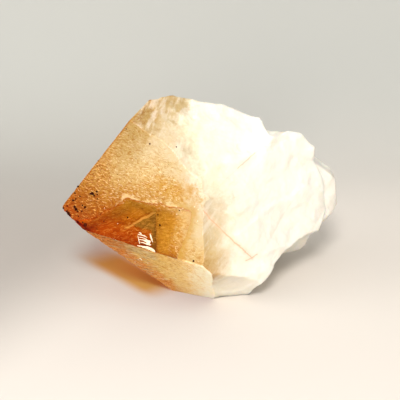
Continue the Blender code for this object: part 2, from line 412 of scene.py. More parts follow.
rough = linked(bpy.data.objects.new("solid_in_mm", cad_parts["citrine_point"].data.copy()))
rough.data.materials.clear()
set_points(rough.data, points_of(rough.data) / MM)
skin = evened(rough, "quartz_skin", SKIN_CELL)
points = points_of(skin.data)
ends = edge_ends(skin.data)

# each point within half a cell of a growth face goes onto it, so the faces are flat and their edges sharp
for turn in range(6):
    off = points @ face_normals.T - face_distances
    near = np.abs(off) < 0.6 * SKIN_CELL
    several = np.maximum(near.sum(1), 1)
    points += (-(off * near) @ face_normals) / np.where(several > 1, 1.25, 1.0)[:, None]
off = points @ face_normals.T - face_distances
on_face = np.abs(off) < 0.03
grown = on_face.any(1)
under = -off.max(1)                        # depth under the nearest growth plane
broken = ~grown

# the broken root is eased, then given its fine relief
for turn in range(7):
    for share in (0.50, -0.52):
        points[broken] += share * (neighbour_mean(points, ends) - points)[broken]
set_points(skin.data, points)
skin_normals = normals_of(skin.data)
places = points[broken]
ledges = noise_at(places * (0.55, 1.0, 1.0), 3.1, 4.0)
relief = 0.11 * np.tanh(ledges * 9.0)
relief += 0.09 * noise_at(places, 2.1, 1.0) + 0.06 * noise_at(places, 0.95, 2.0) + 0.035 * noise_at(places, 0.5, 3.0)
relief *= eased(under[broken], 0.0, 0.9)
points[broken] += skin_normals[broken] * relief[:, None]

# growth faces carry faint steps and hillocks, and small chips along their edges
places = points[grown]
hillocks = 0.020 * noise_at(places, 1.6, 6.0) + 0.012 * noise_at(places, 0.6, 7.0)
edge = on_face[grown].sum(1) > 1
chips = np.where(edge, -0.10 * eased(noise_at(places, 0.8, 8.0), 0.05, 0.5), 0.0)
points[grown] += skin_normals[grown] * (hillocks + chips)[:, None]
points[:, 2] = np.maximum(points[:, 2], 0.0)

# which part of the skin is clear: the window and the tip, with a ragged edge
along, up_face, depth = face_places(points)
from_tip = (points - np.array(TIP)) @ np.array(ALONG)
ragged = 0.35 * noise_at(points, 1.1, 11.0) + 0.15 * noise_at(points, 0.45, 12.0)
window_edge = outline_distance(along, up_face, WINDOW) + ragged
window_edge = np.where(on_face[:, face_names.index("front")], window_edge, 5.0)
tip_edge = from_tip - TIP_CLEAR + 3.0 * ragged
clear_edge = np.minimum(window_edge, tip_edge)
clear = clear_edge < 0.0

corner = np.empty(len(skin.data.loops), np.int64)
skin.data.loops.foreach_get("vertex_index", corner)
corners = np.empty(len(skin.data.polygons), np.int64)
skin.data.polygons.foreach_get("loop_total", corners)
owner = np.repeat(np.arange(len(corners)), corners)
share_clear = np.bincount(owner, weights=clear[corner].astype(float)) / corners
share_broken = np.bincount(owner, weights=broken[corner].astype(float)) / corners
slots = np.where(share_clear > 0.5, 0, np.where(share_broken > 0.0, 2, 1)).astype(np.int32)

# the line between clear and cloudy is smoothed along itself
borders = np.zeros(len(points), bool)
clear_corners = np.bincount(corner, weights=(slots[owner] == 0).astype(float), minlength=len(points))
all_corners = np.bincount(corner, minlength=len(points))
borders = (clear_corners > 0) & (clear_corners < all_corners)
for turn in range(6):
    mean = neighbour_mean(points, ends, borders)
    points[borders] += 0.5 * (mean - points)[borders]
on_front = borders & on_face[:, face_names.index("front")]
off_front = points[on_front] @ face_normals[0] - face_distances[0]
points[on_front] -= off_front[:, None] * face_normals[0]
set_points(skin.data, points * MM)
skin.data.polygons.foreach_set("material_index", slots)
skin.data.polygons.foreach_set("use_smooth", slots == 2)
veil = skin.data.attributes.new("clear_edge", "FLOAT", "POINT")
veil.data.foreach_set("value", clear_edge)
def added(tree, kind, **settings):
    made = tree.nodes.new(kind)
    for name, value in settings.items():
        setattr(made, name, value)
    return made


def feed(tree, socket, value):
    if isinstance(value, bpy.types.NodeSocket):
        tree.links.new(value, socket)
    else:
        socket.default_value = value


def maths(tree, operation, *values):
    made = added(tree, "ShaderNodeMath", operation=operation)
    for socket, value in zip(made.inputs, values):
        feed(tree, socket, value)
    return made.outputs[0]


def vectors(tree, operation, *values):
    made = added(tree, "ShaderNodeVectorMath", operation=operation)
    for socket, value in zip(made.inputs, values):
        feed(tree, socket, value)
    single = operation in ("DOT_PRODUCT", "LENGTH", "DISTANCE")
    return made.outputs["Value" if single else "Vector"]


def stretched(tree, vector, factor):
    """A vector times one number."""
    made = added(tree, "ShaderNodeVectorMath", operation="SCALE")
    feed(tree, made.inputs[0], vector)
    feed(tree, made.inputs["Scale"], factor)
    return made.outputs[0]


def fade(tree, value, low, high):
    """0 where the value is at low and 1 where it is at high, smooth between; low may be above high."""
    made = added(tree, "ShaderNodeMapRange", interpolation_type="SMOOTHSTEP")
    for name, given in (("Value", value), ("From Min", low), ("From Max", high), ("To Min", 0.0), ("To Max", 1.0)):
        feed(tree, made.inputs[name], given)
    return made.outputs["Result"]


def all_of(tree, *masks):
    result = masks[0]
    for mask in masks[1:]:
        result = maths(tree, "MULTIPLY", result, mask)
    return result


def total(tree, *values):
    result = values[0]
    for value in values[1:]:
        result = maths(tree, "ADD", result, value)
    return result


def mixed(tree, factor, one, other, blend="MIX"):
    made = added(tree, "ShaderNodeMix", data_type="RGBA", blend_type=blend)
    feed(tree, made.inputs["Factor"], factor)
    sockets = [s for s in made.inputs if s.type == "RGBA"]
    for socket, value in zip(sockets, (one, other)):
        feed(tree, socket, value if isinstance(value, bpy.types.NodeSocket) else tuple(value) + (1.0,))
    return next(s for s in made.outputs if s.type == "RGBA")


def mottle(tree, place, size, detail=2.0, roughness=0.5):
    """Noise of about 0.2 to 0.8 with lumps of that size in mm, or of three sizes along the three directions."""
    sizes = size if isinstance(size, tuple) else (size, size, size)
    scaled = vectors(tree, "MULTIPLY", place, tuple(1.0 / s for s in sizes))
    made = added(tree, "ShaderNodeTexNoise")
    feed(tree, made.inputs["Vector"], scaled)
    feed(tree, made.inputs["Scale"], 1.0)
    feed(tree, made.inputs["Detail"], detail)
    feed(tree, made.inputs["Roughness"], roughness)
    return made.outputs["Fac"]


def swing(tree, place, size, amount, detail=2.0, roughness=0.5):
    """Noise of a size in mm, as a value that swings about zero by up to about half the amount."""
    return maths(tree, "MULTIPLY", maths(tree, "SUBTRACT", mottle(tree, place, size, detail, roughness), 0.5), amount)


def ramped(tree, value, low, high, stops):
    """A colour for a value, from stops given in the value's own units."""
    made = added(tree, "ShaderNodeValToRGB")
    share = added(tree, "ShaderNodeMapRange")
    for name, given in (("Value", value), ("From Min", low), ("From Max", high)):
        feed(tree, share.inputs[name], given)
    feed(tree, made.inputs["Fac"], share.outputs["Result"])
    elements = made.color_ramp.elements
    while len(elements) < len(stops):
        elements.new(0.5)
    for element, (place, colour) in zip(elements, stops):
        element.position = (place - low) / (high - low)
        element.color = tuple(colour) + (1.0,)
    return made.outputs["Color"]


def parted(tree, vector):
    made = added(tree, "ShaderNodeSeparateXYZ")
    feed(tree, made.inputs[0], vector)
    return made.outputs[0], made.outputs[1], made.outputs[2]


def joined(tree, *values):
    made = added(tree, "ShaderNodeCombineXYZ")
    for socket, value in zip(made.inputs, values):
        feed(tree, socket, value)
    return made.outputs[0]


def new_group(name, inputs, outputs):
    """A node group with named sockets. Each kind is Float, Vector or Color."""
    group = bpy.data.node_groups.new(name, "ShaderNodeTree")
    for label, kind, value in inputs:
        socket = group.interface.new_socket(name=label, in_out="INPUT", socket_type="NodeSocket" + kind)
        socket.default_value = value
    for label, kind in outputs:
        group.interface.new_socket(name=label, in_out="OUTPUT", socket_type="NodeSocket" + kind)
    return group, group.nodes.new("NodeGroupInput"), group.nodes.new("NodeGroupOutput")


def placed(tree, group, **values):
    made = added(tree, "ShaderNodeGroup", node_tree=group)
    for name, value in values.items():
        feed(tree, made.inputs[name.replace("_", " ")], value)
    return made


# Where a point of the surface lies in the stone: its place in mm, how far it is behind the tip, its place in the
# front face's frame (along the ridge, up the face, depth), its place in the lower front face's frame (down the face,
# depth under it, depth under the lower back face), and how deep it is under the upper back face.
LOWER_DOWN = Vector((0.2906, 0.5958, -0.7488))     # down the lower front face, square to the ridge
stone_place, _, place_out = new_group("stone place", (), (
    ("Place", "Vector"), ("From Tip", "Float"), ("Face", "Vector"), ("Lower Face", "Vector"), ("Under Back", "Float"),
))
tree = stone_place
object_place = stretched(tree, added(tree, "ShaderNodeTexCoord").outputs["Object"], 1.0 / MM)
from_start = vectors(tree, "SUBTRACT", object_place, tuple(FACE_START))


def depth_under(tree, place, name):
    """Depth in mm under one growth face's plane."""
    index = face_names.index(name)
    above = vectors(tree, "DOT_PRODUCT", place, tuple(face_normals[index]))
    return maths(tree, "SUBTRACT", float(face_distances[index]), above)


feed(tree, place_out.inputs["Place"], object_place)
feed(tree, place_out.inputs["From Tip"], vectors(
    tree, "DOT_PRODUCT", vectors(tree, "SUBTRACT", object_place, tuple(TIP)), tuple(ALONG)
))
feed(tree, place_out.inputs["Face"], joined(
    tree, vectors(tree, "DOT_PRODUCT", from_start, tuple(FACE_ALONG)),
    vectors(tree, "DOT_PRODUCT", from_start, tuple(FACE_UP)), depth_under(tree, object_place, "front"),
))
feed(tree, place_out.inputs["Lower Face"], joined(
    tree, vectors(tree, "DOT_PRODUCT", from_start, tuple(LOWER_DOWN)),
    depth_under(tree, object_place, "lower front"), depth_under(tree, object_place, "lower back"),
))
feed(tree, place_out.inputs["Under Back"], depth_under(tree, object_place, "upper back"))

# The cloud: amber at the tip, then gold, cream and milk towards the root, in drifts and fine mottling. On the front
# face it is red amber along the ridge and paler up the face; on the lower front face, along its lower edge, a painted
# red-orange glow stands for light coming through from behind.
STONE_STOPS = (                            # mm behind the tip
    (0.0, (0.26, 0.045, 0.002)), (3.5, (0.34, 0.10, 0.008)), (7.0, (0.43, 0.21, 0.04)), (10.5, (0.50, 0.31, 0.11)),
    (14.0, (0.56, 0.41, 0.20)), (18.0, (0.72, 0.61, 0.41)), (21.5, (0.82, 0.75, 0.58)), (26.0, (0.87, 0.82, 0.70)),
    (32.0, (0.89, 0.86, 0.78)),
)
FRONT_STOPS = (                            # mm up the front face
    (-1.0, (0.33, 0.048, 0.0006)), (1.5, (0.33, 0.057, 0.0008)), (4.0, (0.35, 0.092, 0.003)), (6.5, (0.38, 0.15, 0.014)),
    (8.5, (0.44, 0.22, 0.040)), (10.5, (0.50, 0.30, 0.09)), (13.0, (0.58, 0.41, 0.18)), (16.0, (0.59, 0.46, 0.26)),
    (20.0, (0.61, 0.50, 0.33)), (25.0, (0.76, 0.70, 0.55)),
)
LOWER_STOPS = (                            # mm along the ridge
    (4.0, (0.30, 0.06, 0.002)), (7.0, (0.40, 0.11, 0.008)), (12.5, (0.48, 0.16, 0.018)), (15.5, (0.68, 0.41, 0.115)),
    (20.0, (0.79, 0.51, 0.14)), (25.0, (0.88, 0.62, 0.25)), (28.0, (0.95, 0.83, 0.57)), (31.0, (0.95, 0.89, 0.76)),
)
GOLD_DRIFTS = (                            # place along the ridge and up the face, half sizes, strength and colour
    (20.3, 11.6, 4.2, 1.7, 0.75, (0.50, 0.26, 0.030)),
    (12.4, 20.9, 1.7, 2.6, 0.60, (0.48, 0.32, 0.10)),
    (16.2, 25.2, 1.5, 2.6, 0.70, (0.48, 0.34, 0.12)),
    (9.9, 19.0, 0.9, 1.0, 0.70, (0.34, 0.19, 0.04)),
    (9.3, 16.2, 0.8, 2.2, 0.50, (0.42, 0.25, 0.07)),
    (17.6, 15.8, 2.2, 0.7, 0.40, (0.50, 0.33, 0.11)),
    (5.2, 4.5, 2.2, 2.4, 0.45, (0.30, 0.10, 0.008)),
)
cloud_colour, _, cloud_out = new_group("cloud colour", (), (("Colour", "Color"), ("Height", "Float")))
tree = cloud_colour
where = placed(tree, stone_place)
place, from_tip_out, under_back = where.outputs["Place"], where.outputs["From Tip"], where.outputs["Under Back"]
along_ridge, up_front, under_front = parted(tree, where.outputs["Face"])
down_lower, under_lower, under_lower_back = parted(tree, where.outputs["Lower Face"])
drift = swing(tree, place, 3.6, 5.0)
patchy = swing(tree, place, 1.3, 7.0, 3.0, 0.6)
specks = swing(tree, place, 0.40, 5.0, 2.0, 0.6)
uneven = total(tree, drift, patchy)
colour = ramped(tree, total(tree, from_tip_out, uneven, specks), -1.0, 32.0, STONE_STOPS)

far_along = maths(tree, "MULTIPLY", fade(tree, total(tree, along_ridge, maths(tree, "MULTIPLY", patchy, 0.6)), 17.0, 26.5), 11.0)
near_edge = all_of(
    tree, fade(tree, total(tree, under_back, maths(tree, "MULTIPLY", patchy, 0.6)), 5.5, 0.6),
    maths(tree, "MAXIMUM", maths(tree, "SUBTRACT", up_front, 8.0), 0.0), -0.62,
)
at_tip = maths(tree, "MULTIPLY", fade(tree, from_tip_out, 6.0, 0.5), -2.5)
climb = total(tree, up_front, far_along, near_edge, at_tip, maths(tree, "MULTIPLY", uneven, 0.55), specks)
front = ramped(tree, climb, -1.0, 27.0, FRONT_STOPS)
on_front = all_of(tree, fade(tree, total(tree, under_front, maths(tree, "MULTIPLY", uneven, 0.3)), 5.5, 0.8), fade(tree, from_tip_out, 29.0, 23.0))
colour = mixed(tree, on_front, colour, front)
for along, up, half_along, half_up, strength, gold in GOLD_DRIFTS:
    off = vectors(tree, "SUBTRACT", where.outputs["Face"], (along, up, 0.0))
    off = vectors(tree, "MULTIPLY", off, (1.0 / half_along, 1.0 / half_up, 0.06))
    edge = total(tree, vectors(tree, "LENGTH", off), maths(tree, "MULTIPLY", patchy, 0.35), maths(tree, "MULTIPLY", specks, 0.2))
    colour = mixed(tree, maths(tree, "MULTIPLY", fade(tree, edge, 1.5, 0.3), strength), colour, gold)
smoky = all_of(
    tree, fade(tree, total(tree, under_back, maths(tree, "MULTIPLY", patchy, 0.6)), 7.5, 1.5),
    fade(tree, total(tree, from_tip_out, patchy), 30.0, 24.0), fade(tree, from_tip_out, 6.0, 12.0), 0.9,
)
colour = mixed(tree, smoky, colour, (0.40, 0.26, 0.085))

lower = ramped(tree, total(tree, along_ridge, maths(tree, "MULTIPLY", uneven, 0.7), maths(tree, "MULTIPLY", specks, 0.7)), 3.0, 32.0, LOWER_STOPS)
# painted light: a red-orange glow along the lower front face's lower edge, standing for light coming through the stone
# from behind
painted_lower_glow = all_of(tree, fade(tree, total(tree, under_lower_back, patchy), 3.6, 0.4), fade(tree, along_ridge, 27.0, 20.0))
lower = mixed(tree, maths(tree, "MULTIPLY", painted_lower_glow, 0.85), lower, (0.72, 0.24, 0.035))
veiled = all_of(tree, fade(tree, down_lower, 0.5, 1.0), fade(tree, total(tree, down_lower, patchy), 4.0, 2.4), fade(tree, along_ridge, 13.4, 15.2), fade(tree, along_ridge, 20.5, 18.5))
lower = mixed(tree, maths(tree, "MULTIPLY", veiled, 0.6), lower, (0.55, 0.42, 0.21))
grainy = joined(tree, total(tree, along_ridge, down_lower), total(tree, down_lower, maths(tree, "MULTIPLY", along_ridge, 0.22)), under_lower)
greys = fade(tree, mottle(tree, grainy, (2.2, 0.45, 2.0), 4.0, 0.65), 0.50, 0.62)
lower = mixed(tree, all_of(tree, greys, fade(tree, along_ridge, 22.0, 17.0), 0.7), lower, (0.46, 0.36, 0.20))
rusts = fade(tree, mottle(tree, grainy, (1.3, 0.7, 2.0), 4.0, 0.65), 0.46, 0.34)
lower = mixed(tree, all_of(tree, rusts, fade(tree, along_ridge, 25.0, 17.0), 0.75), lower, (0.62, 0.21, 0.025))
silky = fade(tree, mottle(tree, grainy, (1.5, 0.30, 1.4), 4.0, 0.65), 0.46, 0.37)
lower = mixed(tree, all_of(tree, silky, fade(tree, along_ridge, 8.0, 13.0), 0.6), lower, (0.92, 0.76, 0.50))
colour = mixed(tree, fade(tree, under_lower, 0.25, 0.08), colour, lower)

# the edge between the front and upper back faces is a fine dark line
rim = all_of(tree, fade(tree, under_back, 0.42, 0.10), fade(tree, under_front, 0.7, 0.3), fade(tree, from_tip_out, 17.0, 10.0))
colour = mixed(tree, maths(tree, "MULTIPLY", rim, 0.8), colour, (0.33, 0.13, 0.012))

# flecks of two sizes and pale threads, drawn out along the front face
golden = fade(tree, total(tree, from_tip_out, uneven), 23.0, 15.0)
stroke_place = joined(
    tree, total(tree, along_ridge, maths(tree, "MULTIPLY", up_front, -0.35), swing(tree, place, 1.7, 1.4)),
    total(tree, up_front, maths(tree, "MULTIPLY", along_ridge, 0.12), swing(tree, place, 1.9, 1.6)), under_front,
)
dashes = fade(tree, mottle(tree, stroke_place, (0.75, 0.30, 0.7), 4.0, 0.7), 0.50, 0.60)
dots = fade(tree, mottle(tree, place, 0.30, 2.0, 0.6), 0.56, 0.66)
flecks = maths(tree, "MAXIMUM", dashes, maths(tree, "MULTIPLY", dots, 0.7))
colour = mixed(tree, all_of(tree, flecks, golden, fade(tree, climb, 22.0, 13.0), 0.9), colour, (0.76, 0.53, 0.27), "MULTIPLY")
threads = fade(tree, mottle(tree, stroke_place, (0.70, 0.28, 0.7), 4.0, 0.7), 0.47, 0.37)
clear_of_smoke = maths(tree, "SUBTRACT", 1.0, maths(tree, "MULTIPLY", smoky, 0.7))
elsewhere = total(tree, 0.35, maths(tree, "MULTIPLY", on_front, 0.65))
pale = all_of(
    tree, threads, golden, clear_of_smoke, elsewhere, fade(tree, climb, 3.0, 9.0), fade(tree, climb, 24.0, 14.0), 0.65
)
colour = mixed(tree, pale, colour, (0.82, 0.68, 0.44))
at_end = fade(tree, total(tree, from_tip_out, patchy), 10.0, 5.0)
russet = fade(tree, mottle(tree, stroke_place, (0.6, 0.35, 0.6), 3.0, 0.65), 0.50, 0.60)
colour = mixed(tree, all_of(tree, russet, at_end, 0.8), colour, (0.22, 0.045, 0.002))
colour = mixed(tree, all_of(tree, threads, at_end, 0.7), colour, (0.74, 0.38, 0.085))
feed(tree, cloud_out.inputs["Colour"], colour)
feed(tree, cloud_out.inputs["Height"], maths(tree, "SUBTRACT", threads, flecks))

# An iron-stained crack: a mask along a straight line that wanders a little, whatever the relief of the face it is on.
line_mask, line_in, line_out = new_group("crack line", (
    ("Start", "Vector", (0, 0, 0)), ("End", "Vector", (1, 0, 0)), ("Outward", "Vector", (0, -1, 0)),
    ("Width", "Float", 0.2), ("Wander", "Float", 0.3),
), (("Mask", "Float"), ("Stain", "Float")))
tree = line_mask
place = placed(tree, stone_place).outputs["Place"]
wander = added(tree, "ShaderNodeTexNoise")
feed(tree, wander.inputs["Vector"], place)
feed(tree, wander.inputs["Scale"], 0.8)
feed(tree, wander.inputs["Detail"], 4.0)
shake = stretched(tree, vectors(tree, "SUBTRACT", wander.outputs["Color"], (0.5, 0.5, 0.5)), line_in.outputs["Wander"])
run = vectors(tree, "SUBTRACT", line_in.outputs["End"], line_in.outputs["Start"])
offset = vectors(tree, "SUBTRACT", vectors(tree, "ADD", place, shake), line_in.outputs["Start"])
share = maths(tree, "DIVIDE", vectors(tree, "DOT_PRODUCT", offset, run), vectors(tree, "DOT_PRODUCT", run, run))
share.node.use_clamp = True
away = vectors(tree, "SUBTRACT", offset, stretched(tree, run, share))
height = vectors(tree, "DOT_PRODUCT", away, line_in.outputs["Outward"])
flat_away = vectors(tree, "LENGTH", vectors(tree, "SUBTRACT", away, stretched(tree, line_in.outputs["Outward"], height)))
close = fade(tree, maths(tree, "ABSOLUTE", height), 3.0, 2.0)
feed(tree, line_out.inputs["Mask"], all_of(tree, close, fade(tree, flat_away, line_in.outputs["Width"], 0.0)))
feed(tree, line_out.inputs["Stain"], all_of(
    tree, close, fade(tree, flat_away, maths(tree, "MULTIPLY", line_in.outputs["Width"], 5.0), 0.0)
))


def new_material(name):
    made = bpy.data.materials.new(name)
    made.use_nodes = True
    return made, made.node_tree, made.node_tree.nodes["Principled BSDF"]


def lets_lamps_through(tree, shader, tint, for_diffuse):
    """Rays from lamps pass the surface, tinted, as light does through clouded quartz."""
    path = added(tree, "ShaderNodeLightPath")
    open_way = added(tree, "ShaderNodeBsdfTransparent")
    open_way.inputs["Color"].default_value = tint
    last = shader.outputs["BSDF"]
    for ray in ("Is Shadow Ray", "Is Diffuse Ray")[: 2 if for_diffuse else 1]:
        mix = added(tree, "ShaderNodeMixShader")
        tree.links.new(path.outputs[ray], mix.inputs[0])
        tree.links.new(last, mix.inputs[1])
        tree.links.new(open_way.outputs[0], mix.inputs[2])
        last = mix.outputs[0]
    tree.links.new(last, tree.nodes["Material Output"].inputs["Surface"])


def bumped(tree, height, shader, strength, distance):
    bump = added(tree, "ShaderNodeBump")
    bump.inputs["Strength"].default_value = strength
    bump.inputs["Distance"].default_value = distance
    feed(tree, bump.inputs["Height"], height)
    tree.links.new(bump.outputs["Normal"], shader.inputs["Normal"])


# clear quartz: amber at the tip, nearly colourless in the window
clear_amber, tree, shader = new_material("clear amber quartz")
where = placed(tree, stone_place)
feed(tree, shader.inputs["Base Color"], ramped(tree, where.outputs["From Tip"], 0.0, 12.0, (
    (0.0, (1.0, 0.78, 0.36)), (2.5, (1.0, 0.84, 0.50)), (6.0, (1.0, 0.90, 0.66)), (11.0, (1.0, 0.94, 0.80)),
)))
shader.inputs["Transmission Weight"].default_value = 1.0
shader.inputs["IOR"].default_value = 1.544
shader.inputs["Specular IOR Level"].default_value = 0.1
shader.inputs["Roughness"].default_value = 0.02
bumped(tree, mottle(tree, where.outputs["Place"], 0.9, 3.0), shader, 0.12, 0.00005)
lets_lamps_through(tree, shader, (1.0, 0.93, 0.80, 1.0), True)
amber_depth = added(tree, "ShaderNodeVolumeAbsorption")
amber_depth.inputs["Color"].default_value = (1.0, 0.72, 0.25, 1.0)
amber_depth.inputs["Density"].default_value = 45.0
tree.links.new(amber_depth.outputs[0], tree.nodes["Material Output"].inputs["Volume"])

# golden cloud right under the growth faces, seen through their gloss
golden_cloud, tree, shader = new_material("golden cloud")
cloud = placed(tree, cloud_colour)
where = placed(tree, stone_place)
edge_value = added(tree, "ShaderNodeAttribute", attribute_name="clear_edge").outputs["Fac"]
along_ridge, up_front, _ = parted(tree, where.outputs["Face"])
veil = total(tree, edge_value, swing(tree, where.outputs["Place"], 0.5, 0.9), swing(tree, where.outputs["Place"], 2.2, 0.8))
veil_mask = all_of(tree, fade(tree, veil, 0.6, 0.2), fade(tree, veil, -0.2, 0.0),
    fade(tree, mottle(tree, where.outputs["Place"], 1.4), 0.36, 0.52),
    fade(tree, up_front, 6.6, 7.6), fade(tree, along_ridge, 22.5, 19.5))
rim_gold = all_of(
    tree, fade(tree, total(tree, edge_value, swing(tree, where.outputs["Place"], 0.9, 1.6)), 1.8, 0.1),
    fade(tree, along_ridge, 19.0, 22.0), 0.75,
)
near_window = mixed(tree, rim_gold, cloud.outputs["Colour"], (0.50, 0.29, 0.06))
feed(tree, shader.inputs["Base Color"], mixed(
    tree, maths(tree, "MULTIPLY", veil_mask, 0.7), near_window, (0.76, 0.57, 0.30)
))
shader.inputs["Roughness"].default_value = 0.45
shader.inputs["Specular IOR Level"].default_value = 0.12
shader.inputs["Coat Weight"].default_value = 0.25
shader.inputs["Coat Roughness"].default_value = 0.06
shader.inputs["Coat IOR"].default_value = 1.54
shader.inputs["Subsurface Weight"].default_value = 0.4
shader.inputs["Subsurface Radius"].default_value = (1.0, 0.5, 0.2)
shader.inputs["Subsurface Scale"].default_value = 0.001
bumped(tree, cloud.outputs["Height"], shader, 0.25, 0.00004)
lets_lamps_through(tree, shader, (0.62, 0.30, 0.04, 1.0), True)

# milky root: sugary broken quartz, with iron in its cracks and a fan of pale threads from one corner
FRONT_FLANK = outward(12.0, 106.0)
UPPER_FLANK = outward(40.0, 98.0)
CRACKS = (                                 # outward direction of the face, width, strength, then the points
    (FRONT_FLANK, 0.17, 0.85, (
        (-7.7, -15.5, 19.2), (-6.4, -15.5, 17.6), (-4.2, -15.7, 15.1), (-1.8, -15.8, 12.4), (0.3, -15.6, 10.3),
        (1.8, -15.4, 8.8),
    )),
    (FRONT_FLANK, 0.14, 0.8, ((0.5, -15.6, 8.6), (1.8, -15.4, 8.8), (2.9, -15.0, 9.2))),
    (FRONT_FLANK, 0.13, 0.5, ((-1.8, -15.8, 12.4), (-0.9, -15.7, 11.7))),
    (UPPER_FLANK, 0.12, 0.12, ((-5.2, -14.9, 22.2), (-2.9, -14.0, 23.5), (0.35, -12.4, 24.7))),
    (UPPER_FLANK, 0.17, 0.55, ((0.35, -12.4, 24.7), (4.4, -10.7, 26.5))),
    (UPPER_FLANK, 0.12, 0.12, ((4.4, -10.7, 26.5), (8.1, -9.65, 27.6), (13.1, -7.5, 27.5))),
)
FAN_CENTRE = (-8.2, -15.4, 20.2)
milky_root, tree, shader = new_material("milky root")
cloud = placed(tree, cloud_colour)
where = placed(tree, stone_place)
place = where.outputs["Place"]
colour = cloud.outputs["Colour"]
from_fan = vectors(tree, "SUBTRACT", place, FAN_CENTRE)
fan_right, _, fan_up = parted(tree, from_fan)
radius = vectors(tree, "LENGTH", from_fan)
bearing = total(tree, maths(tree, "ARCTAN2", fan_up, fan_right), swing(tree, place, 2.5, 0.25))
rays = mottle(tree, joined(tree, bearing, radius, 0.0), (0.16, 5.0, 1.0), 3.0, 0.65)
near_fan = all_of(
    tree, fade(tree, total(tree, radius, swing(tree, place, 2.0, 6.0)), 12.0, 3.0), fade(tree, fan_right, 0.0, 3.0),
    fade(tree, radius, 1.0, 4.0),
)
colour = mixed(tree, all_of(tree, fade(tree, rays, 0.50, 0.68), near_fan, 0.35), colour, (0.76, 0.58, 0.33))
colour = mixed(tree, all_of(tree, fade(tree, rays, 0.48, 0.34), near_fan, 0.35), colour, (0.88, 0.84, 0.74))
# soft drifts of thinner and thicker milk, drawn out from lower left to upper right
milk_place = joined(
    tree, vectors(tree, "DOT_PRODUCT", place, (0.70, 0.0, 0.71)), vectors(tree, "DOT_PRODUCT", place, (-0.71, 0.0, 0.70)),
    vectors(tree, "DOT_PRODUCT", place, (0.0, 1.0, 0.0)),
)
milk = fade(tree, mottle(tree, milk_place, (5.0, 1.3, 4.0), 4.0, 0.6), 0.48, 0.68)
colour = mixed(tree, maths(tree, "MULTIPLY", milk, 0.5), colour, (0.80, 0.745, 0.65))
for outward_way, width, strength, line in CRACKS:
    for start, end in zip(line, line[1:]):
        crack = placed(
            tree, line_mask, Start=start, End=end, Outward=tuple(outward_way), Width=width, Wander=0.45
        )
        stain = maths(tree, "MULTIPLY", crack.outputs["Stain"], 0.30 * strength)
        colour = mixed(tree, stain, colour, (0.86, 0.62, 0.44))
        colour = mixed(tree, maths(tree, "MULTIPLY", crack.outputs["Mask"], strength), colour, (0.74, 0.43, 0.25))
feed(tree, shader.inputs["Base Color"], colour)
shader.inputs["Roughness"].default_value = 0.42
shader.inputs["Specular IOR Level"].default_value = 0.35
shader.inputs["Subsurface Weight"].default_value = 0.7
shader.inputs["Subsurface Radius"].default_value = (1.0, 0.8, 0.6)
shader.inputs["Subsurface Scale"].default_value = 0.002
bumped(tree, mottle(tree, place, 0.35, 4.0, 0.65), shader, 0.35, 0.0001)

for finish in (clear_amber, golden_cloud, milky_root):
    skin.data.materials.append(finish)
skin.data.update()
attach(skin, "root")
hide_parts("citrine_point")




# The inner cloud: the front of the cloudy quartz inside the stone, seen through the clear window and the clear tip.
# It stands back from the window in flat steps, and closes up to the skin round the window's edge.
CLOUD_CELL = 0.32
CLOUD_INSET = 0.30                         # under the skin everywhere else
CLOUD_END = 29.0                           # mm behind the tip, where nothing more of it can be seen
DEEP = 2.0                                 # the window's tip end is this deep, and its far end this:
SHALLOW = 0.9
STEP_PLACE = 19.3                          # along the ridge, where the deep part ends in a straight step
STEP_LEAN = 0.235

inner = evened(rough, "inner_cloud_rough", 0.5)
set_points(inner.data, points_of(inner.data) - normals_of(inner.data) * CLOUD_INSET)
bm = bmesh.new()
bm.from_mesh(inner.data)
end_place = TIP + ALONG * CLOUD_END
bmesh.ops.bisect_plane(
    bm, geom=bm.verts[:] + bm.edges[:] + bm.faces[:], plane_co=end_place, plane_no=ALONG, clear_outer=True
)
bmesh.ops.holes_fill(bm, edges=[edge for edge in bm.edges if edge.is_boundary], sides=0)
bmesh.ops.triangulate(bm, faces=bm.faces[:])
bm.to_mesh(inner.data)
bm.free()


def window_depth(along, up):
    """How deep the cloud stands under the front face, at places in the face's frame."""
    edge = outline_distance(along, up, WINDOW)
    left = eased(STEP_PLACE - STEP_LEAN * up - along, -0.15, 0.15)
    deep = SHALLOW + (DEEP - SHALLOW) * left
    deep = deep * eased(-edge, -0.2, 2.6)
    far = eased(22.5 - along, 0.0, 2.5)
    return 0.12 + deep * (0.35 + 0.65 * far)


def window_cutter():
    """The room in front of the cloud, behind the window: a block with a stepped floor."""
    along_count, up_count = 86, 48
    low = (-4.0, -3.4)
    step = 0.35
    grid_along = low[0] + step * np.arange(along_count)
    grid_up = low[1] + step * np.arange(up_count)
    all_along, all_up = np.meshgrid(grid_along, grid_up, indexing="ij")
    depth = window_depth(all_along.ravel(), all_up.ravel())
    start, ridge, rise, out = (np.array(v) for v in (FACE_START, FACE_ALONG, FACE_UP, FACE_OUT))
    flat = start + all_along.ravel()[:, None] * ridge + all_up.ravel()[:, None] * rise
    floor = flat - depth[:, None] * out
    top = flat + 4.0 * out
    total = along_count * up_count
    faces = []
    for i in range(along_count - 1):
        for j in range(up_count - 1):
            a = i * up_count + j
            faces.append((a, a + 1, a + up_count + 1, a + up_count))
            faces.append(tuple(total + k for k in (a, a + up_count, a + up_count + 1, a + 1)))
    rim = [i * up_count for i in range(along_count)]
    rim += [(along_count - 1) * up_count + j for j in range(1, up_count)]
    rim += [i * up_count + up_count - 1 for i in range(along_count - 2, -1, -1)]
    rim += [j for j in range(up_count - 2, 0, -1)]
    for a, b in zip(rim, rim[1:] + rim[:1]):
        faces.append((a, b, total + b, total + a))
    return mesh_object("cut_window", np.vstack([floor, top]), faces)


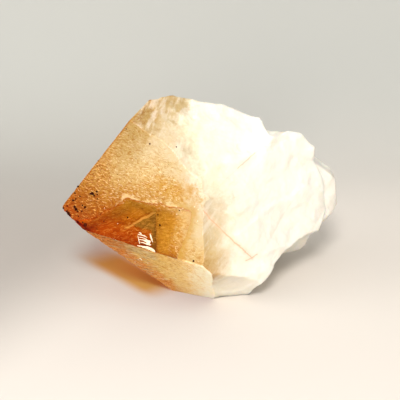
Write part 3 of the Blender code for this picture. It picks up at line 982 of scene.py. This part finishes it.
def tip_cutter():
    """Everything in front of a rough wall near the tip."""
    count, reach = 30, 14.0
    bm = bmesh.new()
    bmesh.ops.create_grid(bm, x_segments=count, y_segments=count, size=reach)
    for vert in bm.verts:
        spot = Vector((vert.co.x, vert.co.y, 5.0))
        vert.co.z = 1.3 * noise.noise(spot / 3.0) + 0.5 * noise.noise(spot / 1.1)
    grown_out = bmesh.ops.extrude_face_region(bm, geom=bm.faces[:])
    for item in grown_out["geom"]:
        if isinstance(item, bmesh.types.BMVert):
            item.co.z = 20.0
    bmesh.ops.triangulate(bm, faces=bm.faces[:])
    bmesh.ops.recalc_face_normals(bm, faces=bm.faces[:])
    across = BACK.cross(-ALONG)
    turn = Matrix((BACK, across, -ALONG)).transposed().to_4x4()
    bm.transform(Matrix.Translation(TIP + ALONG * (TIP_CLEAR + 1.2)) @ turn)
    mesh = bpy.data.meshes.new("cut_tip")
    bm.to_mesh(mesh)
    bm.free()
    return linked(bpy.data.objects.new("cut_tip", mesh))


cutters = [window_cutter(), tip_cutter()]
for cutter in cutters:
    bm = bmesh.new()
    bm.from_mesh(cutter.data)
    bmesh.ops.triangulate(bm, faces=bm.faces[:])
    bmesh.ops.recalc_face_normals(bm, faces=bm.faces[:])
    bm.to_mesh(cutter.data)
    bm.free()
    step = inner.modifiers.new(cutter.name, "BOOLEAN")
    step.operation = "DIFFERENCE"
    step.solver = "EXACT"
    step.object = cutter
    worked_out(inner)
inner_cloud = evened(inner, "golden_cloud", CLOUD_CELL)
points = points_of(inner_cloud.data)
ends = edge_ends(inner_cloud.data)
for turn in range(2):
    points += 0.4 * (neighbour_mean(points, ends) - points)
set_points(inner_cloud.data, points)
along, up_face, depth = face_places(points)
free = eased(depth, 0.6, 1.2)
lumps = 0.10 * noise_at(points, 1.3, 21.0) + 0.05 * noise_at(points, 0.6, 22.0)
points += normals_of(inner_cloud.data) * (lumps * free)[:, None]
set_points(inner_cloud.data, points * MM)
for face in inner_cloud.data.polygons:
    face.use_smooth = True

# its colours: red amber low and near the tip; olive above a pale streak that runs up across it, the streak being a
# painted reflection of an inner plane, with painted shade along its other side; gold in fine curved bands past the
# step; and one dark olive corner between the streak and the step, painted as the darker surroundings seen through the
# stone
STREAK_START = (12.9, 1.9)                 # along the ridge and up the face
STREAK_END = (17.3, 6.4)
inner_material, tree, shader = new_material("inner cloud")
where = placed(tree, stone_place)
place = where.outputs["Place"]
along_out, up_out, depth_out = parted(tree, where.outputs["Face"])
cloud = placed(tree, cloud_colour)
blotch = swing(tree, place, 1.3, 2.0, 4.0, 0.6)
streaky = swing(tree, joined(
    tree, total(tree, along_out, maths(tree, "MULTIPLY", up_out, 0.9)), total(tree, up_out, maths(tree, "MULTIPLY", along_out, -0.9)), depth_out
), (2.2, 0.35, 2.0), 1.0, 3.0, 0.6)
near_part = ramped(tree, total(tree, up_out, blotch, maths(tree, "MULTIPLY", streaky, 2.5)), -2.0, 9.0, (
    (-1.5, (0.30, 0.050, 0.0008)), (1.2, (0.36, 0.064, 0.0006)), (2.6, (0.34, 0.078, 0.001)), (4.2, (0.35, 0.120, 0.003)),
    (6.5, (0.43, 0.20, 0.014)), (8.5, (0.52, 0.31, 0.035)),
))
reds = all_of(tree, fade(tree, total(tree, along_out, blotch), 12.5, 8.5), fade(tree, up_out, 7.5, 5.0))
near_part = mixed(tree, maths(tree, "MULTIPLY", reds, 0.6), near_part, (0.44, 0.095, 0.001))
streak_run = Vector(STREAK_END) - Vector(STREAK_START)
streak_way = streak_run.normalized()
past_streak = total(
    tree, maths(tree, "MULTIPLY", along_out, float(streak_way.y)), maths(tree, "MULTIPLY", up_out, float(-streak_way.x)),
    float(Vector(STREAK_START).dot(Vector((-streak_way.y, streak_way.x)))), swing(tree, place, 1.5, 0.5),
)
step_line = total(tree, along_out, maths(tree, "MULTIPLY", up_out, STEP_LEAN), -STEP_PLACE)
# painted: the dark olive corner stands for the darker surroundings seen through the clear stone
corner_bottom = maths(
    tree, "MAXIMUM", fade(tree, total(tree, up_out, blotch), 2.7, 3.2), fade(tree, step_line, -1.1, -0.8)
)
seen_through_corner_mask = all_of(tree, fade(tree, past_streak, 0.15, 0.3), fade(tree, step_line, 0.0, -0.1), corner_bottom)
near_part = mixed(tree, maths(tree, "MULTIPLY", seen_through_corner_mask, 0.9), near_part, mixed(
    tree, fade(tree, swing(tree, place, 0.5, 2.0, 3.0, 0.6), -0.3, 0.3), (0.18, 0.088, 0.008), (0.26, 0.140, 0.019)
))
# painted reflection: the pale streak of light off an inner plane, and painted shade along its other side
streak_ends = all_of(tree, fade(tree, up_out, 1.6, 2.4), fade(tree, up_out, 6.9, 6.3))
painted_reflection_streak_mask = all_of(tree, fade(tree, past_streak, -0.24, -0.12), fade(tree, past_streak, 0.26, 0.14), streak_ends)
near_part = mixed(tree, maths(tree, "MULTIPLY", painted_reflection_streak_mask, 0.8), near_part, (0.58, 0.33, 0.075))
painted_streak_shade = all_of(tree, fade(tree, past_streak, -0.55, -0.4), fade(tree, past_streak, -0.22, -0.32), streak_ends)
near_part = mixed(tree, maths(tree, "MULTIPLY", painted_streak_shade, 0.7), near_part, (0.27, 0.065, 0.003))
low_streaks = all_of(
    tree, fade(tree, streaky, 0.06, 0.14), fade(tree, along_out, 9.0, 11.0), fade(tree, along_out, 16.0, 14.0),
    fade(tree, up_out, 5.0, 3.5),
)
near_part = mixed(tree, maths(tree, "MULTIPLY", low_streaks, 0.35), near_part, (0.52, 0.20, 0.018))

curve = maths(tree, "POWER", maths(tree, "SUBTRACT", up_out, 3.2), 2.0)
bend = total(tree, along_out, maths(tree, "MULTIPLY", curve, 0.05), swing(tree, place, 1.5, 1.2))
bands = mottle(tree, joined(tree, bend, maths(tree, "MULTIPLY", up_out, 0.12), 0.0), 0.30, 3.0, 0.6)
banding = fade(tree, up_out, 7.5, 4.5)
bands_soft = total(tree, maths(tree, "MULTIPLY", maths(tree, "SUBTRACT", bands, 0.5), banding), swing(tree, place, 0.4, 0.55, 3.0, 0.6))
gold_base = ramped(tree, total(tree, along_out, maths(tree, "MULTIPLY", bands_soft, 7.0), blotch), 17.0, 27.0, (
    (18.5, (0.36, 0.165, 0.012)), (20.5, (0.45, 0.22, 0.022)), (22.5, (0.52, 0.29, 0.042)), (25.0, (0.58, 0.37, 0.10)),
))
ribs = all_of(tree, fade(tree, bands, 0.51, 0.58), 0.6)
gold_base = mixed(tree, ribs, gold_base, (0.78, 0.66, 0.48), "MULTIPLY")
window_colour = mixed(tree, fade(tree, step_line, -0.05, 0.05), near_part, gold_base)
fibre_place = joined(
    tree, total(tree, along_out, maths(tree, "MULTIPLY", up_out, 0.6), swing(tree, place, 1.0, 1.2)),
    total(tree, up_out, maths(tree, "MULTIPLY", along_out, -0.5), swing(tree, place, 1.4, 1.6)), depth_out,
)
fibres = mottle(tree, fibre_place, (1.1, 0.26, 1.5), 4.0, 0.7)
window_colour = mixed(tree, maths(tree, "MULTIPLY", fade(tree, fibres, 0.51, 0.60), 0.6), window_colour, (0.60, 0.50, 0.45), "MULTIPLY")
window_colour = mixed(tree, maths(tree, "MULTIPLY", fade(tree, fibres, 0.47, 0.38), 0.45), window_colour, (0.62, 0.34, 0.07))
in_window = all_of(
    tree, fade(tree, depth_out, 0.15, 0.8), fade(tree, total(tree, up_out, blotch), 9.6, 7.8),
    fade(tree, total(tree, along_out, maths(tree, "MULTIPLY", up_out, -0.5), maths(tree, "MULTIPLY", blotch, 2.0)), 24.4, 19.6),
    fade(tree, total(tree, along_out, blotch), 5.0, 8.0),
)
cloud_here = mixed(
    tree, fade(tree, total(tree, where.outputs["From Tip"], maths(tree, "MULTIPLY", blotch, 0.7)), 5.0, 2.8), cloud.outputs["Colour"],
    (0.60, 0.15, 0.002)
)
feed(tree, shader.inputs["Base Color"], mixed(tree, in_window, cloud_here, window_colour))
shader.inputs["Roughness"].default_value = 0.5
shader.inputs["Specular IOR Level"].default_value = 0.0
shader.inputs["Subsurface Weight"].default_value = 0.3
shader.inputs["Subsurface Radius"].default_value = (1.0, 0.5, 0.2)
shader.inputs["Subsurface Scale"].default_value = 0.0008
bumped(tree, bands_soft, shader, 0.3, 0.0001)
lets_lamps_through(tree, shader, (0.97, 0.74, 0.36, 1.0), True)
inner_cloud.data.materials.clear()
inner_cloud.data.materials.append(inner_material)
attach(inner_cloud, "root")

for spare in [rough, inner] + cutters:
    spare_mesh = spare.data
    bpy.data.objects.remove(spare)
    bpy.data.meshes.remove(spare_mesh)
# The bright cracks: thin air-filled fractures just under the clear window, by the ridge; the light they throw back is
# painted on them as a near-white glint colour. Each is a sliver of its own, wavy along its edges, and they lie side by
# side like blinds.
CRACK_DEPTH = 0.50                         # mm under the front face
CRACK_THICKNESS = 0.05
GLINT_CRACK_LINES = (                           # places along the ridge and up the face, each with a half width
    ((15.80, 2.42, 0.06), (16.05, 2.38, 0.10), (16.28, 2.32, 0.04)),
    ((15.70, 2.02, 0.05), (16.36, 2.12, 0.08), (16.90, 2.10, 0.09), (17.42, 1.98, 0.04)),
    ((15.98, 1.62, 0.04), (16.66, 1.72, 0.06), (17.48, 1.62, 0.05)),
    ((16.09, 1.22, 0.04), (16.88, 1.33, 0.10), (17.60, 1.32, 0.30), (18.15, 1.22, 0.36)),
    ((16.25, 0.80, 0.04), (16.95, 0.88, 0.08), (17.70, 0.84, 0.14), (18.40, 0.92, 0.10)),
    ((15.74, 1.82, 0.04), (16.05, 1.15, 0.06), (16.42, 0.48, 0.05)),
    ((16.04, 0.05, 0.05), (17.08, 0.18, 0.15), (18.10, 0.24, 0.28), (18.90, 0.10, 0.30), (19.38, -0.12, 0.08)),
    ((17.80, 2.85, 0.07), (18.05, 2.35, 0.14), (18.35, 1.85, 0.10), (18.60, 1.50, 0.04)),
)


def sliver(bm, line, depth, seed):
    """A thin flat strip under the front face, along a line in the face's frame, with wavy edges."""
    count = 5 * (len(line) - 1)
    one_edge, other_edge = [], []
    for step in range(count + 1):
        share = step / count * (len(line) - 1)
        index = min(int(share), len(line) - 2)
        here = Vector(line[index]).lerp(Vector(line[index + 1]), share - index)
        way = (Vector(line[index + 1][:2]) - Vector(line[index][:2])).normalized()
        side = Vector((-way.y, way.x))
        for edge, sign in ((one_edge, 1.0), (other_edge, -1.0)):
            wave = 0.5 * noise.noise(Vector((here.x * 4.0, here.y * 4.0, seed + sign)))
            edge.append(here.xy + side * sign * here.z * (1.0 + wave))
    front_verts, back_verts = [], []
    for place in one_edge + other_edge[::-1]:
        flat = FACE_START + FACE_ALONG * place.x + FACE_UP * place.y
        front_verts.append(bm.verts.new(flat - FACE_OUT * depth))
        back_verts.append(bm.verts.new(flat - FACE_OUT * (depth + CRACK_THICKNESS)))
    last = len(front_verts) - 1
    for step in range(count):
        for row in (front_verts, back_verts):
            bm.faces.new((row[step], row[step + 1], row[last - step - 1], row[last - step]))
    for one in range(last + 1):
        other = (one + 1) % (last + 1)
        bm.faces.new((front_verts[one], front_verts[other], back_verts[other], back_verts[one]))


def one_mesh(name, bm):
    """The object in mm in bm, brought to metres, with its faces pointing out."""
    bmesh.ops.recalc_face_normals(bm, faces=bm.faces[:])
    bm.transform(Matrix.Scale(MM, 4))
    mesh = bpy.data.meshes.new(name)
    bm.to_mesh(mesh)
    bm.free()
    return linked(bpy.data.objects.new(name, mesh))


bm = bmesh.new()
for number, line in enumerate(GLINT_CRACK_LINES):
    sliver(bm, line, CRACK_DEPTH - 0.03 * number, 7.0 * number)
painted_glint_cracks = one_mesh("painted_glint_cracks", bm)

# painted glint: the cracks' colour is near white with gold streaks, standing for the light they reflect
painted_glint_finish, tree, shader = new_material("painted crack glint")
where = placed(tree, stone_place)
feed(tree, shader.inputs["Base Color"], ramped(
    tree, mottle(tree, where.outputs["Place"], 0.3, 3.0), 0.0, 1.0,
    ((0.30, (0.72, 0.46, 0.20)), (0.42, (0.95, 0.88, 0.74)), (0.60, (0.97, 0.95, 0.90))),
))
shader.inputs["Roughness"].default_value = 0.25
painted_glint_cracks.data.materials.append(painted_glint_finish)
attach(painted_glint_cracks, "root")


# The iron specks: grains of dark iron ore caught in the growth faces, thickest near the tip, and the pale flecks,
# chips of white quartz between them. Each grain is a small lump half sunk in its face.
IRON_GRAINS = (                            # place along the ridge and up the front face, and radius
    (26.40, 0.55, 0.22), (19.15, 4.90, 0.20), (18.40, 6.60, 0.15), (14.20, 18.20, 0.18), (18.80, 19.00, 0.13),
    (13.30, 4.50, 0.19), (21.90, 8.45, 0.14), (9.30, 2.55, 0.14), (6.20, 6.75, 0.32), (6.60, 6.45, 0.22),
    (7.30, 6.10, 0.16), (6.90, 7.30, 0.24), (5.90, 6.60, 0.22), (7.10, 6.85, 0.18), (3.90, 3.10, 0.36),
    (3.55, 3.45, 0.27), (4.25, 2.85, 0.23), (2.70, 2.00, 0.35), (3.05, 1.70, 0.27), (2.35, 2.25, 0.22),
    (6.15, 0.90, 0.35), (5.60, 1.20, 0.16), (5.40, 3.95, 0.27), (4.90, 4.15, 0.19), (3.10, 4.50, 0.24),
    (3.45, 4.90, 0.16), (3.40, 7.20, 0.20), (3.10, 5.90, 0.20), (9.60, 19.50, 0.13), (4.70, 0.95, 0.19),
    (4.60, 2.00, 0.16), (5.00, 3.10, 0.18), (2.20, 3.20, 0.19), (1.60, 2.60, 0.18), (4.10, 5.60, 0.18),
)
WHITE_GRAINS = (
    (6.20, 5.50, 0.07), (8.90, 4.90, 0.08), (3.60, 6.60, 0.07), (21.20, 8.90, 0.13), (22.00, 8.65, 0.09),
    (22.40, 9.00, 0.10), (21.60, 7.70, 0.10), (24.30, 9.90, 0.13), (25.00, 9.60, 0.15), (25.40, 7.60, 0.13),
)
LOWER_GRAINS = (                           # pale ones again: place along the ridge and down the lower face, and radius
    (16.40, 4.60, 0.24), (16.55, 4.95, 0.17), (17.70, 5.60, 0.16), (15.90, 5.30, 0.13), (15.20, 6.80, 0.13),
)
LOWER_OUT = Vector((-0.597, -0.499, -0.628))
SCATTERED_GRAINS = 120                     # more of them all round the tip, and fewer towards the root
SCATTER_REACH = 9.0                        # mm behind the tip within which most of them lie


def grain(bm, place, out, radius):
    """A lumpy grain, flattened against its face."""
    made = bmesh.ops.create_icosphere(bm, subdivisions=1, radius=1.0)
    turn = out.to_track_quat("Z", "Y").to_matrix()
    for vert in made["verts"]:
        lump = 1.0 + 0.45 * noise.noise(vert.co * 1.3 + place * 5.0)
        vert.co = place + turn @ Vector((vert.co.x, vert.co.y, vert.co.z * 0.4)) * radius * lump


def face_grains(bm, grains):
    for along, up, radius in grains:
        grain(bm, FACE_START + FACE_ALONG * along + FACE_UP * up - FACE_OUT * 0.02, FACE_OUT, radius)


iron_bm, white_bm = bmesh.new(), bmesh.new()
face_grains(iron_bm, IRON_GRAINS)
face_grains(white_bm, WHITE_GRAINS)
for along, down, radius in LOWER_GRAINS:
    grain(white_bm, FACE_START + FACE_ALONG * along + LOWER_DOWN * down, LOWER_OUT, radius)
draw = random.Random(14)
skin_points = points_of(skin.data) / MM
skin_ways = normals_of(skin.data)
grown_points = np.flatnonzero(grown)
behind_tip = (skin_points - np.array(TIP)) @ np.array(ALONG)
laid = 0
while laid < SCATTERED_GRAINS:
    index = int(grown_points[draw.randrange(len(grown_points))])
    if draw.random() > math.exp(-behind_tip[index] / SCATTER_REACH) * 1.2 or skin_points[index][2] < 0.5:
        continue
    white = draw.random() < 0.10
    radius = draw.uniform(0.035, 0.09)
    grain(white_bm if white else iron_bm, Vector(skin_points[index]), Vector(skin_ways[index]), radius)
    laid += 1

GRAIN_FINISHES = (
    ("iron_specks", iron_bm, "iron ore", ((0.25, (0.10, 0.012, 0.002)), (0.60, (0.025, 0.004, 0.001))), 0.7),
    ("white_flecks", white_bm, "white fleck", ((0.30, (0.74, 0.48, 0.22)), (0.60, (0.88, 0.78, 0.58))), 0.35),
)
for name, grain_bm, finish_name, stops, roughness in GRAIN_FINISHES:
    grains_piece = one_mesh(name, grain_bm)
    finish, tree, shader = new_material(finish_name)
    feed(tree, shader.inputs["Base Color"], ramped(
        tree, mottle(tree, placed(tree, stone_place).outputs["Place"], 0.8, 3.0), 0.0, 1.0, stops
    ))
    shader.inputs["Roughness"].default_value = roughness
    shader.inputs["Specular IOR Level"].default_value = 0.05
    grains_piece.data.materials.append(finish)
    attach(grains_piece, "root")
